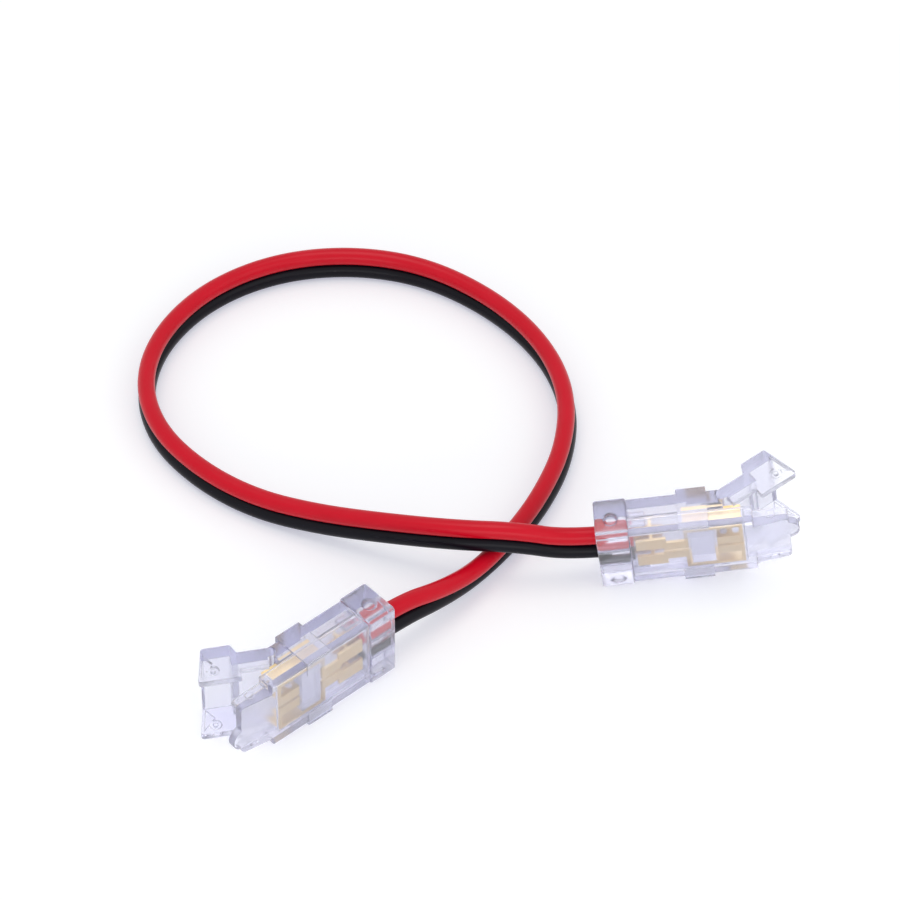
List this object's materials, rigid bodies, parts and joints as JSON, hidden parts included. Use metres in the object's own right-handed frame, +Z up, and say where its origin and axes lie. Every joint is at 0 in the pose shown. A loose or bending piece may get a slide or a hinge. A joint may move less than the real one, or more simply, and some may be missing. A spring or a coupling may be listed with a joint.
{
  "type": "led strip connector",
  "caption": "Strip-to-strip jumper for narrow light strip: clear snap-jaw connectors on both ends of a short red and black twin lead.",
  "frame": {"origin": "centre of the two housings' box on the floor plane, with the jaws open as modelled and the lead left out", "axes": "+Z up; +X to the right and +Y away from the viewer in the picture; both connectors stand on their long sides and the lead's loop lies behind them"},
  "size_m": [0.067, 0.0701, 0.0117],
  "materials": {
    "clear_shell": "moulded clear polycarbonate, polished",
    "contact_metal": "stamped sheet with a gold-coloured plating",
    "red_sheath": "soft extruded vinyl, satin",
    "black_sheath": "soft extruded vinyl, satin",
    "bare_wire": "bare stranded copper"
  },
  "bodies": {
    "housings": {"left_base": "clear_shell", "left_cover": "clear_shell", "left_wire_clamp": "clear_shell", "left_red_contact": "contact_metal", "left_black_contact": "contact_metal", "right_base": "clear_shell", "right_cover": "clear_shell", "right_wire_clamp": "clear_shell", "right_red_contact": "contact_metal", "right_black_contact": "contact_metal", "red_insulation": "red_sheath", "black_insulation": "black_sheath", "red_conductor": "bare_wire", "black_conductor": "bare_wire"},
    "left_jaw": {"left_jaw": "clear_shell"},
    "right_jaw": {"right_jaw": "clear_shell"}
  },
  "joints": [
    {"name": "left_jaw_hinge", "type": "hinge", "parent": "housings", "child": "left_jaw", "pos_m": [-0.02282, -0.00907, 0.00435], "axis": [0, 0, -1], "range_deg": [-30, 8], "stiffness_Nm_per_rad": 0.00005},
    {"name": "right_jaw_hinge", "type": "hinge", "parent": "housings", "child": "right_jaw", "pos_m": [0.02169, 0.01085, 0.00645], "axis": [-0.1194, -0.1531, 0.981], "range_deg": [-31, 8], "stiffness_Nm_per_rad": 0.00005}
  ]
}
